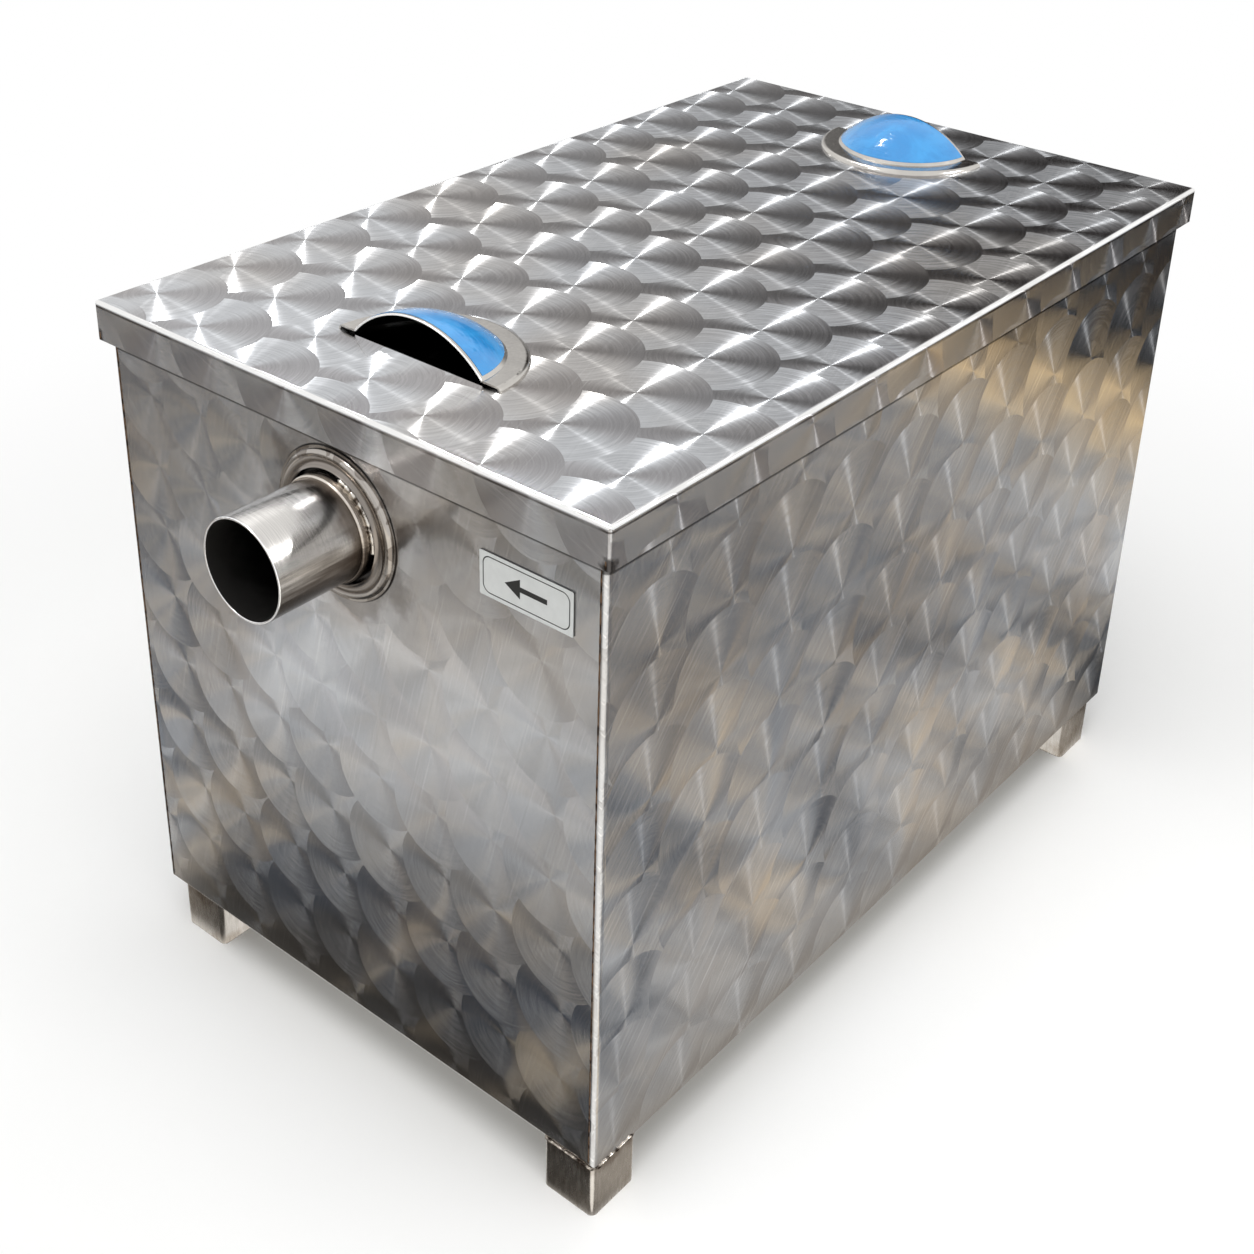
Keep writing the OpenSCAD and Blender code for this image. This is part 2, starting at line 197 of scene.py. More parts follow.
def addLamp(name, direction, distance, size, watts):
    lamp = bpy.data.lights.new(name, "AREA")
    lamp.shape = "DISK"
    lamp.size = size
    lamp.energy = watts
    holder = bpy.data.objects.new(name, lamp)
    scene.collection.objects.link(holder)
    away = Vector(direction).normalized()
    holder.location = Vector((0, 0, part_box("lid")[1].z)) + away * distance
    holder.rotation_euler = away.to_track_quat("Z", "Y").to_euler()
    return holder


def seenDirectly(add):
    # rays of the camera, and those that metal or glass send on
    path = add("LightPath").node.outputs
    seen = add("Math.MAXIMUM", {0: path["Is Camera Ray"], 1: path["Is Glossy Ray"]})
    return add("Math.MAXIMUM", {0: seen, 1: path["Is Transmission Ray"]})


def addSurround(s):
    world = bpy.data.worlds.new("whiteStudio")
    scene.world = world
    world.use_nodes = True
    world.node_tree.nodes.clear()
    add = partial(addNode, world.node_tree)
    strength = add("Mix", {0: seenDirectly(add), 2: s["ambient"], 3: 1.0})
    glow = add("Background", {"Color": toLinear(white), "Strength": strength})
    add("OutputWorld", {"Surface": glow})


def addFloor(s):
    shape = bmesh.new()
    bmesh.ops.create_circle(shape, cap_ends=True, segments=s["floorSides"], radius=s["floorSize"])
    material, add = newMaterial("paleFloor")
    # near the object the floor is real and holds its shadow, further out it fades into the surround
    place = add("TexCoord", out="Object")
    away = add("VectorMath.LENGTH", {0: place}, out=1)
    fade = add("MapRange", {0: away, fromSpan: s["floorFade"]}, **smoothStep)
    fade = add("Math.MULTIPLY", {0: fade, 1: seenDirectly(add)})
    matt = add("BsdfDiffuse", {"Color": toLinear(s["floorColour"])})
    glow = add("Emission", {"Color": toLinear(white), "Strength": 1.0})
    mixed = add("MixShader", {0: fade, 1: matt, 2: glow})
    add("OutputMaterial", {"Surface": mixed})
    newPiece("floor", shape, material)


def onlyInReflections(card):
    card.visible_camera = False
    card.visible_diffuse = False
    card.visible_shadow = False
    card.visible_transmission = False
    card.visible_volume_scatter = False


def addBackCard(c):
    shape = bmesh.new()
    bmesh.ops.create_cone(shape, cap_ends=False, segments=c["sides"], radius1=c["radius"],
                          radius2=c["radius"], depth=c["height"])
    bmesh.ops.translate(shape, verts=shape.verts, vec=(0, 0, c["height"] / 2))
    material, add = newMaterial("brownBackCard")
    place = add("TexCoord", out="Object")
    _, y, height = add("SeparateXYZ", {0: place}).node.outputs
    along = add("VectorMath.DOT_PRODUCT", {0: place, 1: c["toward"]}, out=1)
    lowered = add("Math.MULTIPLY_ADD", {0: along, 1: -c["rise"], 2: height})
    cover = add("MapRange", {0: lowered, fromSpan: c["fade"], toSpan: (1, 0)}, **smoothStep)
    foot = add("MapRange", {0: height, fromSpan: c["foot"], toSpan: (c["footShare"], 1)}, **smoothStep)
    side = add("MapRange", {0: along, fromSpan: c["edges"]})
    behind = add("MapRange", {0: y, fromSpan: c["frontEdge"]})
    for share in (foot, side, behind):
        cover = add("Math.MULTIPLY", {0: cover, 1: share})
    glow = add("Emission", {"Color": toLinear(c["colour"]), "Strength": 1.0})
    mixed = add("MixShader", {0: cover, 1: add("BsdfTransparent"), 2: glow})
    add("OutputMaterial", {"Surface": mixed})
    onlyInReflections(newPiece("backCard", shape, material))


def setStops(ramp, stops):
    while len(ramp.elements) < len(stops):
        ramp.elements.new(1.0)
    for mark, (position, colour) in zip(ramp.elements, stops):
        mark.position = position
        mark.color = toLinear(colour)


def addFloorCard(c):
    shape = bmesh.new()
    bmesh.ops.create_circle(shape, cap_ends=True, segments=c["sides"], radius=c["radius"])
    bmesh.ops.translate(shape, verts=shape.verts, vec=(0, 0, c["lift"]))
    material, add = newMaterial("cloudyFloorCard")
    place = add("TexCoord", out="Object")
    alongX, alongY, _ = add("SeparateXYZ", {0: place}).node.outputs
    # how far each spot lies outside the tank's outline
    tank = Vector((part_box("front_side_panel")[1].x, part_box("rear_side_panel")[1].y, 0))
    apart = add("VectorMath.ABSOLUTE", {0: place})
    apart = add("VectorMath.SUBTRACT", {0: apart, 1: tank})
    apartX, apartY, _ = add("SeparateXYZ", {0: apart}).node.outputs
    apartMost = add("Math.MAXIMUM", {0: apartX, 1: apartY})
    beyond = add("Math.SUBTRACT", {0: alongX, 1: tank.x})
    ramps = []
    for distance, stops in ((apartY, "alongSides"), (apartX, "alongEnds"), (beyond, "beyondInlet")):
        ramps.append(add("ValToRGB", {0: distance}))
        setStops(ramps[-1].node.color_ramp, c[stops])
    sides, ends, inlet = ramps
    atEnd = add("Math.SUBTRACT", {0: apartX, 1: apartY})
    atEnd = add("MapRange", {0: atEnd, fromSpan: (-c["passing"], c["passing"])}, **smoothStep)
    colour = add("Mix", {0: atEnd, 6: sides, 7: ends}, **asColour)
    lighter = (c["endShare"], 1)
    shade = add("MapRange", {0: alongY, fromSpan: c["endShade"], toSpan: lighter}, **smoothStep)
    shade = add("Mix", {0: atEnd, 2: 1.0, 3: shade})
    colour = add("Mix", {0: 1.0, 6: colour, 7: shade}, **asColour, blend_type="MULTIPLY")
    under = add("MapRange", {0: apartMost, fromSpan: c["underEdge"]})
    layers = [(under, toLinear(c["underneath"]))]
    # clouds begin a little away from the tank, and are fainter at its ends
    clouded = add("MapRange", {0: apartMost, fromSpan: c["cloudFrom"]})
    faint = add("MapRange", {0: atEnd, toSpan: (1, c["cloudAtEnds"])})
    clouded = add("Math.MULTIPLY", {0: clouded, 1: faint})
    for tint, shift, low, high in c["clouds"]:
        moved = add("VectorMath.MULTIPLY_ADD", {0: place, 1: c["cloudStretch"], 2: (shift, 0, 0)})
        cloud = add("TexNoise", {"Vector": moved, "Scale": c["cloud"], "Detail": 4.0, "Roughness": 0.55})
        cloud = add("MapRange", {0: cloud, fromSpan: (low, high), 4: c["cloudDepth"]}, **smoothStep)
        cloud = add("Math.MULTIPLY", {0: cloud, 1: clouded})
        layers.append((cloud, toLinear(tint)))
    layers.append((add("MapRange", {0: beyond, fromSpan: c["pastInlet"]}, **smoothStep), inlet))
    # bright quarter in front of the near corner
    corner = add("VectorMath.SUBTRACT", {0: place, 1: -tank})
    corner = add("VectorMath.NORMALIZE", {0: corner})
    toward = add("VectorMath.DOT_PRODUCT", {0: corner, 1: c["glintToward"]}, out=1)
    glint = add("MapRange", {0: toward, fromSpan: c["glintSpread"]}, **smoothStep)
    layers.append((glint, toLinear(c["glint"])))
    for share, tint in layers:
        colour = add("Mix", {0: share, 6: colour, 7: tint}, **asColour)
    strength = add("MapRange", {0: glint, toSpan: c["strength"]})
    glow = add("Emission", {"Color": colour, "Strength": strength})
    add("OutputMaterial", {"Surface": glow})
    onlyInReflections(newPiece("floorCard", shape, material))


addLamp("softLamp", *studio["softLamp"]).visible_glossy = False
for name, lamp in studio["streakLamps"].items():
    addLamp(name, *lamp).visible_diffuse = False
addSurround(studio)
addFloor(studio)
addBackCard(studio["backCard"])
addFloorCard(studio["floorCard"])
print("studio lit by one soft lamp and", len(studio["streakLamps"]), "streak lamps")

# Places that the finishes refer to
lidLow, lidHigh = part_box("lid")
pipeLow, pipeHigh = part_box("outlet_pipe")
pipeHeight = (pipeLow.z + pipeHigh.z) / 2
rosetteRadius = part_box("outlet_rosette")[1].y
wallEnd = abs(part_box("outlet_end_panel")[0].x)
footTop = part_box("foot_outlet_front")[1].z
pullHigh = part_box("inlet_handle")[1]

# Pressed stainless pulls: bright drawn steel, with painted shade, near black, on the hidden face of the dome
pull = {
    "steel": "#CECAC4",
    # painted shade: colour of the dome's hidden face, where only shade falls
    "hollow": "#0B0B0B",
    "domeRadius": 52 * mm,
    "domeHeight": 22.8 * mm,
    "sheet": 1.2 * mm,
    "grain": 2.2 * mm,
    "cloud": 22 * mm,
    "shine": (0.86, 1.04),
    "bump": (0.15, 0.03 * mm),
    "roughness": (0.11, 0.23),
    "hollowRoughness": 0.8,
    "edge": "#FFFEFC",          # the dome's cut edge, dressed round, painted near white as a highlight
    "edgeRoughness": (0.25, 0.37),
    "edgeRadius": 0.6 * mm,
    "edgeStep": 1.5 * mm,
    "archGlow": 0.9,            # of the card that the lid mirrors
}
sphereRadius = (pull["domeRadius"] ** 2 + pull["domeHeight"] ** 2) / (2 * pull["domeHeight"])


def pressedSteel(name, p):
    material, add = newMaterial(name)
    place = add("TexCoord", out="Object")
    # both domes lie on one sphere each, mirrored across the lid, so X is folded
    folded = add("VectorMath.ABSOLUTE", {0: place})
    centre = (pullHigh.x, 0, pullHigh.z - sphereRadius)
    reach = add("VectorMath.DISTANCE", {0: folded, 1: centre}, out=1)
    # painted shade: the dome's hidden face is painted near black
    under = add("Math.LESS_THAN", {0: reach, 1: sphereRadius - p["sheet"] / 2})
    grain = add("TexNoise", {"Vector": place, "Scale": 1 / p["grain"], "Detail": 3.0})
    cloud = add("TexNoise", {"Vector": place, "Scale": 1 / p["cloud"], "Detail": 2.0})
    bright = add("MapRange", {0: cloud, **noiseSpan, toSpan: p["shine"]})
    colour = add("Mix", {0: 1.0, 6: toLinear(p["steel"]), 7: bright}, **asColour, blend_type="MULTIPLY")
    colour = add("Mix", {0: under, 6: colour, 7: toLinear(p["hollow"])}, **asColour)
    rough = add("MapRange", {0: grain, **noiseSpan, toSpan: p["roughness"]})
    rough = add("Mix", {0: under, 2: rough, 3: p["hollowRoughness"]})
    bump = add("Bump", {strengthAndDepth: p["bump"], "Height": grain})
    shader = add("BsdfPrincipled", {"Base Color": colour, "Metallic": 1, "Roughness": rough, "Normal": bump})
    add("OutputMaterial", {"Surface": shader})
    return material


dress(pressedSteel("pressedStainlessPull", pull), "outlet_handle", "inlet_handle")
print("pulls dressed")

# Circular-ground stainless sheet: overlapping discs of fine ring scratches, each disc
# catching the light as a bow tie that turns with the eye
lidSheet = {
    "name": "circularGroundStainlessLid",
    "upright": 0.7,          # a face belongs to the axis along which its normal is longer than this
    "steel": "#CBCDD0",
    # shade: colour of the painted reflection in the fans, and of the dull scratches
    "shade": "#6C5F5B",
    "warm": "#BDB6AE",       # faint straw-coloured patches
    "patch": 150.0,          # mm, their size
    "patchSpan": (0.45, 0.7),
    "patchDepth": 0.6,
    "pitch": (60.0, 61.0),   # mm between disc centres
    "skew": 0.30,            # pitches that each row is shifted
    "radius": 43.0,          # mm
    "wander": 8.0,           # mm that centres stray
    "groove": 1.3,           # mm, coarser than the real grit so that it shows
    "seeds": 60.0,           # apart enough that no two discs are alike
    "contrast": 0.14,        # between the rings of one disc
    "sideContrast": 0.035,   # the same on upright faces
    "relief": 2.5,           # bump for each part of that contrast
    "depth": 0.03 * mm,      # of the scratches
    "tilt": 0.01,            # how far one disc leans against the next
    "fanAngle": -50.0,       # degrees, the side of each disc that gets the painted reflection
    "fanDepth": 0.42,
    "hairAngle": 20.0,       # degrees, stray straight scratches
    "hairSize": (70.0, 1.3, 1.0),    # mm, long and narrow
    "hair": 0.10,
    "dullHair": (0.42, 0.28),
    "shinyHair": (0.57, 0.70),
    "rubbed": "#FBFAF8",     # painted highlight: folds are painted near white
    "fold": (0.985, 0.9),    # longest part of the normal, where a fold begins and is full
    "lying": (0.1, 0.3),     # upward part of the normal, the same
    "rubbedDepth": 0.85,
    "rubbedRoughness": 0.15,
    "roughness": (0.205, 0.265),
}
wallSheet = dict(lidSheet, name="circularGroundStainlessWall", pitch=(62.0, 50.0), skew=0.06, tilt=0.03,
                 fanDepth=0.2, fanAngle=40.0, hairAngle=50.0, hair=0.32, roughness=(0.155, 0.215))
endSheet = dict(wallSheet, name="circularGroundStainlessEnd", pitch=(46.0, 48.0), radius=36.0, wander=7.0,
                tilt=0.022, fanDepth=0.16, hairAngle=105.0, hair=0.12)


def groundDiscs(add, g, place, facing):
    # finds the disc that was ground last at each point: its offset from the disc's centre, and a random tone
    x, y, z = add("SeparateXYZ", {0: place}).node.outputs
    isEnd = add("Math.GREATER_THAN", {0: facing[0], 1: g["upright"]})
    isTop = add("Math.GREATER_THAN", {0: facing[2], 1: g["upright"]})
    left = add("Math.MULTIPLY", {0: x, 1: -1.0})
    down = add("Math.MULTIPLY", {0: z, 1: -1.0})
    onSide = add("CombineXYZ", {0: left, 1: down})
    onEnd = add("CombineXYZ", {0: y, 1: z})
    onTop = add("CombineXYZ", {0: x, 1: y})
    point = add("Mix", {0: isEnd, 4: onSide, 5: onEnd}, **asVector)
    point = add("Mix", {0: isTop, 4: point, 5: onTop}, **asVector)
    u, v, _ = add("SeparateXYZ", {0: point}).node.outputs
    pitchU, pitchV = g["pitch"]
    stray = (g["wander"], g["wander"], 0)
    across = add("Math.DIVIDE", {0: u, 1: pitchU})
    upward = add("Math.DIVIDE", {0: v, 1: pitchV})
    rowBelow = add("Math.FLOOR", {0: upward})
    offset = tone = None
    for step in (0, 1):
        row = add("Math.ADD", {0: rowBelow, 1: step})
        shift = add("Math.MULTIPLY", {0: row, 1: g["skew"]})
        along = add("Math.SUBTRACT", {0: across, 1: shift})
        column = add("Math.FLOOR", {0: along})
        for side in (1, 0):
            number = add("Math.ADD", {0: column, 1: side})
            cell = add("CombineXYZ", {0: number, 1: row, 2: isTop})
            chance = add("TexWhiteNoise", {"Vector": cell}, out=1)
            acrossCells = add("Math.ADD", {0: number, 1: shift})
            lattice = add("CombineXYZ", {0: acrossCells, 1: row})
            lattice = add("VectorMath.MULTIPLY", {0: lattice, 1: (pitchU, pitchV, 0)})
            centre = add("VectorMath.MULTIPLY_ADD", {0: chance, 1: stray, 2: lattice})
            reach = add("VectorMath.SUBTRACT", {0: point, 1: centre})
            length = add("VectorMath.LENGTH", {0: reach}, out=1)
            inside = add("Math.LESS_THAN", {0: length, 1: g["radius"]})
            if offset is None:
                offset, tone = reach, chance
            else:
                offset = add("Mix", {0: inside, 4: offset, 5: reach}, **asVector)
                tone = add("Mix", {0: inside, 4: tone, 5: chance}, **asVector)
    return point, offset, tone, isTop, isEnd


def groundSheet(g, *marks):
    material, add = newMaterial(g["name"])
    place = placeInMm(add)
    facing = add("VectorMath.ABSOLUTE", {0: add("TexCoord", out="Normal")})
    facing = add("SeparateXYZ", {0: facing}).node.outputs
    point, offset, tone, isTop, isEnd = groundDiscs(add, g, place, facing)
    # on a lying fold no part of the normal is near 1
    flat = add("Math.MAXIMUM", {0: facing[0], 1: facing[1]})
    flat = add("Math.MAXIMUM", {0: flat, 1: facing[2]})
    fold = add("MapRange", {0: flat, fromSpan: g["fold"]})
    lying = add("MapRange", {0: facing[2], fromSpan: g["lying"]})
    fold = add("Math.MULTIPLY", {0: fold, 1: lying})
    # the scratches run round each disc, so its gloss is widest along the radius
    du, dv, _ = add("SeparateXYZ", {0: offset}).node.outputs
    onSide = add("CombineXYZ", {0: du, 2: dv})
    onEnd = add("CombineXYZ", {1: du, 2: dv})
    radial = add("Mix", {0: isEnd, 4: onSide, 5: onEnd}, **asVector)
    radial = add("Mix", {0: isTop, 4: radial, 5: offset}, **asVector)
    radial = add("VectorMath.NORMALIZE", {0: radial})
    distance = add("VectorMath.LENGTH", {0: offset}, out=1)
    angle = add("Math.ARCTAN2", {0: dv, 1: du})
    rings = add("Math.DIVIDE", {0: distance, 1: g["groove"]})
    chance = add("SeparateXYZ", {0: tone})
    seed = add("Math.MULTIPLY", {0: chance, 1: g["seeds"]})
    ringPlace = add("CombineXYZ", {0: rings, 1: seed, 2: angle})
    scratch = add("TexNoise", {"Vector": ringPlace, "Scale": 1.0, "Detail": 3.0, "Roughness": 0.6})
    # painted reflection: two dark fans face each other across a disc, painted into its colour
    turned = add("Math.SUBTRACT", {0: angle, 1: math.radians(g["fanAngle"])})
    turned = add("Math.MULTIPLY", {0: turned, 1: 2.0})
    paintedFan = add("Math.COSINE", {0: turned})
    paintedFan = add("MapRange", {0: paintedFan, 4: g["fanDepth"]}, **smoothStep)
    patch = add("TexNoise", {"Vector": place, "Scale": 1 / g["patch"], "Detail": 2.0})
    patch = add("MapRange", {0: patch, fromSpan: g["patchSpan"], 4: g["patchDepth"]}, **smoothStep)
    colour = add("Mix", {0: patch, 6: toLinear(g["steel"]), 7: toLinear(g["warm"])}, **asColour)
    colour = add("Mix", {0: paintedFan, 6: colour, 7: toLinear(g["shade"])}, **asColour)
    depth = add("MapRange", {0: isTop, toSpan: (g["sideContrast"], g["contrast"])})
    dark = add("Math.SUBTRACT", {0: 1.0, 1: depth})
    light = add("Math.ADD", {0: 1.0, 1: depth})
    bright = add("MapRange", {0: scratch, **noiseSpan, toSpan: (dark, light)})
    colour = add("Mix", {0: 1.0, 6: colour, 7: bright}, **asColour, blend_type="MULTIPLY")
    # stray straight scratches, some dull and some bright
    slant = -math.radians(g["hairAngle"])
    hair = add("VectorRotate", {"Vector": point, "Angle": slant}, rotation_type="Z_AXIS")
    hair = add("VectorMath.DIVIDE", {0: hair, 1: g["hairSize"]})
    hair = add("TexNoise", {"Vector": hair, "Scale": 1.0, "Detail": 2.0, "Distortion": 0.3})
    dull = add("MapRange", {0: hair, fromSpan: g["dullHair"], 4: g["hair"] / 2}, **smoothStep)
    shiny = add("MapRange", {0: hair, fromSpan: g["shinyHair"], 4: g["hair"]}, **smoothStep)
    # painted highlight along the lid's folds
    rubbed = add("Math.MULTIPLY", {0: fold, 1: g["rubbedDepth"]})
    layers = [(dull, g["shade"]), (shiny, white), (rubbed, g["rubbed"])]
    for mark, values in marks:
        layers += mark(add, place, values)
    for share, tint in layers:
        colour = add("Mix", {0: share, 6: colour, 7: toLinear(tint)}, **asColour)
    rough = add("MapRange", {0: scratch, **noiseSpan, toSpan: g["roughness"]})
    rough = add("Mix", {0: fold, 2: rough, 3: g["rubbedRoughness"]})
    lean = add("VectorMath.SUBTRACT", {0: tone, 1: (0.5, 0.5, 0.5)})
    normal = add("NewGeometry", out="Normal")
    lean = add("VectorMath.MULTIPLY_ADD", {0: lean, 1: (g["tilt"],) * 3, 2: normal})
    lean = add("VectorMath.NORMALIZE", {0: lean})
    relief = add("Math.MULTIPLY", {0: depth, 1: g["relief"]})
    bump = add("Bump", {"Strength": relief, "Distance": g["depth"], "Height": scratch, "Normal": lean})
    shader = add("BsdfPrincipled", {
        "Base Color": colour, "Metallic": 1, "Roughness": rough, "Anisotropic": 1,
        "Tangent": radial, "Normal": bump,
    })
    add("OutputMaterial", {"Surface": shader})
    return material


# Marks on the ground sheet. Each gives layers, a share and a colour, that lie over the steel.
# Lengths are in mm
creaseMark = {
    "brown": "#35271D",
    "height": lidHigh.z / mm - 3.7,
    "edge": (0.3, 0.8),         # from the line's middle, where it fades
    "worn": 25.0,               # size of the places where the line breaks up
    "wornSpan": (0.4, 0.6),
    "depth": (0.25, 0.85),      # where it is broken, and where it is whole
}
cornerMark = {
    "black": "#1E1510",
    "corner": (lidHigh.x / mm, lidHigh.y / mm, lidLow.z / mm + 2),
    "reach": (7.5, 12.0),
    "smoke": 4.0,
    "stray": 9.0,
    "depth": 0.85,
}
sideSkirtShadow = {
    "black": "#1C1917",
    "line": lidLow.z / mm - 6.4,    # lowest height, just below what the skirt hides from the camera
    "fade": 1.5,
    "band": (6.0, 10.0),        # above the line, where it ends
    "depth": 0.8,
}
endSkirtShadow = dict(sideSkirtShadow, line=lidLow.z / mm - 5)
hollowShadeMark = {
    "black": "#080808",
    "centre": (pullHigh.x / mm, 0, lidHigh.z / mm),
    "edge": (pull["domeRadius"] / mm - 3, pull["domeRadius"] / mm),
    "mouth": (pullHigh.x / mm - 1, pullHigh.x / mm + 0.3),
}
heatMark = {
    "straw": "#5F5245",
    "depth": 0.45,
    "reach": (46.0, 66.0),      # from the pipe's axis
    "smoke": 24.0,
    "smokeSpan": (0.35, 0.65),
    "stray": (-8.0, 14.0),
    "rim": "#15120F",           # dark line round the rosette
    "rimEdge": (rosetteRadius / mm + 0.5, rosetteRadius / mm + 1.1),
    "rimDepth": 0.9,
}


def lidCrease(add, place, m):
    # dark brown line right under the lid's fold, broken up by noise
    height = add("SeparateXYZ", {0: place}, out=2)
    below = add("Math.SUBTRACT", {0: height, 1: m["height"]})
    below = add("Math.ABSOLUTE", {0: below})
    line = add("MapRange", {0: below, fromSpan: m["edge"], toSpan: (1, 0)})
    worn = add("TexNoise", {"Vector": place, "Scale": 1 / m["worn"], "Detail": 3.0})
    worn = add("MapRange", {0: worn, fromSpan: m["wornSpan"], toSpan: m["depth"]})
    return [(add("Math.MULTIPLY", {0: line, 1: worn}), m["brown"])]


def burntCorners(add, place, m):
    # smudges at the foot of the lid's welded corners
    folded = add("VectorMath.ABSOLUTE", {0: place})
    away = add("VectorMath.DISTANCE", {0: folded, 1: m["corner"]}, out=1)
    smoke = add("TexNoise", {"Vector": place, "Scale": 1 / m["smoke"], "Detail": 4.0})
    away = add("Math.MULTIPLY_ADD", {0: smoke, 1: m["stray"], 2: away})
    burnt = add("MapRange", {0: away, fromSpan: m["reach"], toSpan: (m["depth"], 0)}, **smoothStep)
    return [(burnt, m["black"])]


def skirtShadow(add, place, m):
    # painted shadow right under the lid's skirt
    height = add("SeparateXYZ", {0: place}, out=2)
    line = m["line"]
    low, high = m["band"]
    shadow = add("MapRange", {0: height, fromSpan: (line - m["fade"], line), 4: m["depth"]}, **smoothStep)
    beneathBand = add("MapRange", {0: height, fromSpan: (line + low, line + high), toSpan: (1, 0)})
    return [(add("Math.MULTIPLY", {0: shadow, 1: beneathBand}), m["black"])]


def pullHollowShade(add, place, m):
    # painted shade: the sheet under each pull is painted near black, where it lies in the dark
    folded = add("VectorMath.ABSOLUTE", {0: place})
    reach = add("VectorMath.DISTANCE", {0: folded, 1: m["centre"]}, out=1)
    dark = add("MapRange", {0: reach, fromSpan: m["edge"], toSpan: (1, 0)})
    foldedX = add("SeparateXYZ", {0: folded})
    behind = add("MapRange", {0: foldedX, fromSpan: m["mouth"], toSpan: (1, 0)})
    return [(add("Math.MULTIPLY", {0: dark, 1: behind}), m["black"])]


def weldHeat(add, place, m):
    # straw and brown heat tint on the wall around the pipe's weld, and a dark line round the rosette
    fromAxis = add("VectorMath.SUBTRACT", {0: place, 1: (0, 0, pipeHeight / mm)})
    fromAxis = add("VectorMath.MULTIPLY", {0: fromAxis, 1: (0, 1, 1)})
    fromAxis = add("VectorMath.LENGTH", {0: fromAxis}, out=1)
    smoke = add("TexNoise", {"Vector": place, "Scale": 1 / m["smoke"], "Detail": 3.0})
    smoke = add("MapRange", {0: smoke, fromSpan: m["smokeSpan"], toSpan: m["stray"]})
    spread = add("Math.SUBTRACT", {0: fromAxis, 1: smoke})
    tint = add("MapRange", {0: spread, fromSpan: m["reach"], toSpan: (m["depth"], 0)}, **smoothStep)
    rim = add("MapRange", {0: fromAxis, fromSpan: m["rimEdge"], toSpan: (m["rimDepth"], 0)})
    return [(tint, m["straw"]), (rim, m["rim"])]


lidMarks = [(lidCrease, creaseMark), (burntCorners, cornerMark), (pullHollowShade, hollowShadeMark)]
dress(groundSheet(lidSheet, *lidMarks), "lid")
dress(groundSheet(wallSheet, (skirtShadow, sideSkirtShadow)), "front_side_panel", "rear_side_panel")
endMarks = [(skirtShadow, endSkirtShadow), (weldHeat, heatMark)]
dress(groundSheet(endSheet, *endMarks), "outlet_end_panel", "inlet_end_panel")
print("circular-ground sheet on the lid and walls")

# Polished stainless tube: nearly mirror bright along its length, faint polish rings,
# straw to brown heat tint towards the weld, painted shade along the lower half and in the bore, a painted
# highlight at the mouth
tube = {
    "name": "polishedStainlessTube",
    "steel": "#D8D5D1",
    "tint": "#7A6B5C",
    "tintDepth": 0.75,
    "tintReach": (15.0, 27.0),  # mm from the wall
    "tintStray": 4.0,           # mm
    "cloud": 14.0,              # mm
    "stain": "#42372E",
    "underside": 0.9,           # painted shade, brown, along the lower half
    "stainEdge": (13.0, -10.0),     # mm above the axis, where it begins and is full
    "stainStray": 9.0,          # mm
    "stainRun": 55.0,           # mm, length of its streaks
    "stainTurn": 7.0,           # streaks for each radian
    # painted shade in the bore: near black deep inside, grey towards the mouth
    "inside": "#0D0C0C",
    "insideRoughness": 0.42,
    "mouth": "#6A6866",
    "mouthReach": (22.0, 70.0),     # mm from the wall, over which the bore turns grey
    "lipEdge": (0.9, 0.5),      # mm from the mouth, where the cut edge gets a painted highlight
    "boreRadius": 30.35,        # mm
    "polishPitch": 0.7,         # mm between polish rings
    "shine": (0.86, 1.05),
    "bump": (0.2, 0.02 * mm),
    "face": None,
    "roughness": (0.16, 0.25),
}
collar = dict(tube, name="heatTintedStainlessCollar", steel="#E0D8CE", tint="#A29588", tintDepth=0.5,
              tintReach=(4.0, 14.0), roughness=(0.20, 0.29))
# the rosette's face, inside the rim, is darkened with painted shade
rosette = dict(tube, name="pressedStainlessRosette", steel="#BDB8B2", tint="#8A8078", tintDepth=0.2,
               underside=0.2, tintReach=(3.0, 9.0), roughness=(0.13, 0.22),
               face="#7C746D", faceEdge=(42.2, 43.0), faceDepth=0.7, footEdge=(1.9, 1.3), footDepth=0.75)


